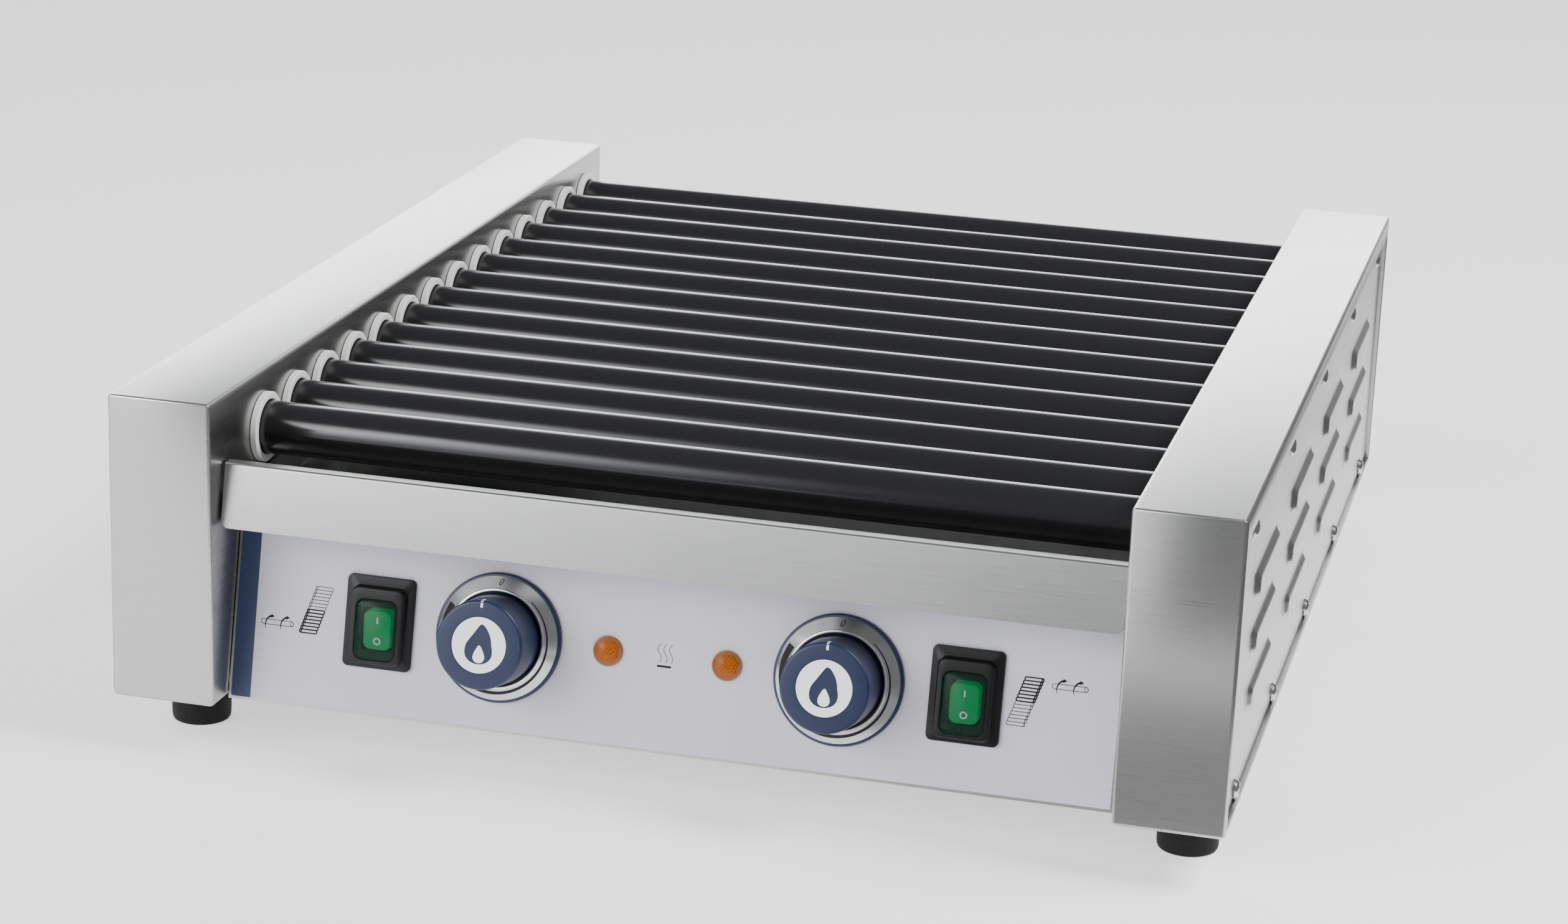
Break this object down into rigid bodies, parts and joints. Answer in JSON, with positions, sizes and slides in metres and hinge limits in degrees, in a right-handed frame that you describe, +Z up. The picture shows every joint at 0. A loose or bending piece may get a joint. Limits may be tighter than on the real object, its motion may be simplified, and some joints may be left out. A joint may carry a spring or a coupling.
{
  "type": "hot dog roller grill",
  "caption": "Countertop roller grill: heated tubes turn between two sheet-metal housings over a pull-out drip tray, with rocker switches, dials and lamps on a sloping front.",
  "frame": {"origin": "on the supporting surface, under the middle of the footprint", "axes": "+Z up, -Y towards the control panel in front, +X to the right seen from the front"},
  "size_m": [0.52, 0.5966, 0.172],
  "materials": {
    "sheet_steel": "brushed stainless steel sheet, satin, grain along the long side",
    "roller_coating": "satin black non-stick coating on steel tube",
    "bushing_plastic": "off-white bearing plastic",
    "heating_element": "dull heat-tinted steel sheath",
    "drive_metal": "zinc-plated steel",
    "dial_metal": "bright silver ring",
    "knob_plastic": "navy blue moulded plastic, semi-gloss",
    "black_plastic": "black moulded plastic, semi-gloss",
    "green_plastic": "green translucent plastic",
    "amber_lens": "amber translucent lens",
    "foot_rubber": "black rubber",
    "panel_label": "printed film label, pale grey, fine matt grain"
  },
  "bodies": {
    "body": {"housing_left": "sheet_steel", "housing_right": "sheet_steel", "cover_left": "sheet_steel", "cover_right": "sheet_steel", "control_panel": "sheet_steel", "base_pan": "sheet_steel", "bushing_left_01": "bushing_plastic", "bushing_left_02": "bushing_plastic", "bushing_left_03": "bushing_plastic", "bushing_left_04": "bushing_plastic", "bushing_left_05": "bushing_plastic", "bushing_left_06": "bushing_plastic", "bushing_left_07": "bushing_plastic", "bushing_left_08": "bushing_plastic", "bushing_left_09": "bushing_plastic", "bushing_left_10": "bushing_plastic", "bushing_left_11": "bushing_plastic", "bushing_left_12": "bushing_plastic", "bushing_left_13": "bushing_plastic", "bushing_left_14": "bushing_plastic", "bearing_rail_right": "bushing_plastic", "heater_bank": "heating_element", "gear_motor_front": "drive_metal", "gear_motor_rear": "drive_metal", "drive_chain_front": "drive_metal", "drive_chain_rear": "drive_metal", "thermostat_left": "drive_metal", "thermostat_right": "drive_metal", "dial_ring_left": "dial_metal", "switch_body_left": "black_plastic", "indicator_lamp_left": "amber_lens", "foot_front_left": "foot_rubber", "foot_rear_left": "foot_rubber", "dial_ring_right": "dial_metal", "switch_body_right": "black_plastic", "indicator_lamp_right": "amber_lens", "foot_front_right": "foot_rubber", "foot_rear_right": "foot_rubber", "cable_gland": "black_plastic"},
    "roller_01": {"roller_01": "roller_coating"},
    "roller_02": {"roller_02": "roller_coating"},
    "roller_03": {"roller_03": "roller_coating"},
    "roller_04": {"roller_04": "roller_coating"},
    "roller_05": {"roller_05": "roller_coating"},
    "roller_06": {"roller_06": "roller_coating"},
    "roller_07": {"roller_07": "roller_coating"},
    "roller_08": {"roller_08": "roller_coating"},
    "roller_09": {"roller_09": "roller_coating"},
    "roller_10": {"roller_10": "roller_coating"},
    "roller_11": {"roller_11": "roller_coating"},
    "roller_12": {"roller_12": "roller_coating"},
    "roller_13": {"roller_13": "roller_coating"},
    "roller_14": {"roller_14": "roller_coating"},
    "motor_sprocket_front": {"motor_sprocket_front": "drive_metal"},
    "motor_sprocket_rear": {"motor_sprocket_rear": "drive_metal"},
    "thermostat_knob_left": {"thermostat_knob_left": "knob_plastic"},
    "rocker_left": {"rocker_left": "green_plastic"},
    "thermostat_knob_right": {"thermostat_knob_right": "knob_plastic"},
    "rocker_right": {"rocker_right": "green_plastic"},
    "drip_tray": {"drip_tray": "sheet_steel"}
  },
  "joints": [
    {"name": "roller_01_turn", "type": "hinge", "parent": "body", "child": "roller_01", "pos_m": [0, -0.2287, 0.1446], "axis": [1, 0, 0], "continuous": true},
    {"name": "roller_02_turn", "type": "hinge", "parent": "body", "child": "roller_02", "pos_m": [0, -0.1907, 0.1446], "axis": [1, 0, 0], "continuous": true},
    {"name": "roller_03_turn", "type": "hinge", "parent": "body", "child": "roller_03", "pos_m": [0, -0.15269, 0.1446], "axis": [1, 0, 0], "continuous": true},
    {"name": "roller_04_turn", "type": "hinge", "parent": "body", "child": "roller_04", "pos_m": [0, -0.1147, 0.1446], "axis": [1, 0, 0], "continuous": true},
    {"name": "roller_05_turn", "type": "hinge", "parent": "body", "child": "roller_05", "pos_m": [0, -0.07669, 0.1446], "axis": [1, 0, 0], "continuous": true},
    {"name": "roller_06_turn", "type": "hinge", "parent": "body", "child": "roller_06", "pos_m": [0, -0.0387, 0.1446], "axis": [1, 0, 0], "continuous": true},
    {"name": "roller_07_turn", "type": "hinge", "parent": "body", "child": "roller_07", "pos_m": [0, -0.00069, 0.1446], "axis": [1, 0, 0], "continuous": true},
    {"name": "roller_08_turn", "type": "hinge", "parent": "body", "child": "roller_08", "pos_m": [0, 0.0373, 0.1446], "axis": [1, 0, 0], "continuous": true},
    {"name": "roller_09_turn", "type": "hinge", "parent": "body", "child": "roller_09", "pos_m": [0, 0.0753, 0.1446], "axis": [1, 0, 0], "continuous": true},
    {"name": "roller_10_turn", "type": "hinge", "parent": "body", "child": "roller_10", "pos_m": [0, 0.11331, 0.1446], "axis": [1, 0, 0], "continuous": true},
    {"name": "roller_11_turn", "type": "hinge", "parent": "body", "child": "roller_11", "pos_m": [0, 0.1513, 0.1446], "axis": [1, 0, 0], "continuous": true},
    {"name": "roller_12_turn", "type": "hinge", "parent": "body", "child": "roller_12", "pos_m": [0, 0.18931, 0.1446], "axis": [1, 0, 0], "continuous": true},
    {"name": "roller_13_turn", "type": "hinge", "parent": "body", "child": "roller_13", "pos_m": [0, 0.22731, 0.1446], "axis": [1, 0, 0], "continuous": true},
    {"name": "roller_14_turn", "type": "hinge", "parent": "body", "child": "roller_14", "pos_m": [0, 0.26531, 0.1446], "axis": [1, 0, 0], "continuous": true},
    {"name": "motor_sprocket_front_turn", "type": "hinge", "parent": "body", "child": "motor_sprocket_front", "pos_m": [0, -0.1147, 0.06905], "axis": [1, 0, 0], "continuous": true},
    {"name": "motor_sprocket_rear_turn", "type": "hinge", "parent": "body", "child": "motor_sprocket_rear", "pos_m": [0, 0.1513, 0.06905], "axis": [1, 0, 0], "continuous": true},
    {"name": "thermostat_knob_left_turn", "type": "hinge", "parent": "body", "child": "thermostat_knob_left", "pos_m": [-0.08, -0.26495, 0.06804], "axis": [0, 0.9781, -0.2079], "range_deg": [0, 300]},
    {"name": "rocker_left_tilt", "type": "hinge", "parent": "body", "child": "rocker_left", "pos_m": [-0.138, -0.26557, 0.0651], "axis": [-1, 0, 0], "range_deg": [0, 14]},
    {"name": "thermostat_knob_right_turn", "type": "hinge", "parent": "body", "child": "thermostat_knob_right", "pos_m": [0.08, -0.26495, 0.06804], "axis": [0, 0.9781, -0.2079], "range_deg": [0, 300]},
    {"name": "rocker_right_tilt", "type": "hinge", "parent": "body", "child": "rocker_right", "pos_m": [0.138, -0.26557, 0.0651], "axis": [-1, 0, 0], "range_deg": [0, 14]},
    {"name": "drip_tray_slide", "type": "slide", "parent": "body", "child": "drip_tray", "axis": [0, -1, 0], "range_m": [0, 0.54]}
  ],
  "couplings": [
    {"joint": "roller_02_turn", "follows": "roller_01_turn", "ratio": 1},
    {"joint": "roller_03_turn", "follows": "roller_01_turn", "ratio": 1},
    {"joint": "roller_04_turn", "follows": "roller_01_turn", "ratio": 1},
    {"joint": "roller_05_turn", "follows": "roller_01_turn", "ratio": 1},
    {"joint": "roller_06_turn", "follows": "roller_01_turn", "ratio": 1},
    {"joint": "roller_07_turn", "follows": "roller_01_turn", "ratio": 1},
    {"joint": "roller_09_turn", "follows": "roller_08_turn", "ratio": 1},
    {"joint": "roller_10_turn", "follows": "roller_08_turn", "ratio": 1},
    {"joint": "roller_11_turn", "follows": "roller_08_turn", "ratio": 1},
    {"joint": "roller_12_turn", "follows": "roller_08_turn", "ratio": 1},
    {"joint": "roller_13_turn", "follows": "roller_08_turn", "ratio": 1},
    {"joint": "roller_14_turn", "follows": "roller_08_turn", "ratio": 1},
    {"joint": "motor_sprocket_front_turn", "follows": "roller_01_turn", "ratio": 1},
    {"joint": "motor_sprocket_rear_turn", "follows": "roller_08_turn", "ratio": 1}
  ]
}
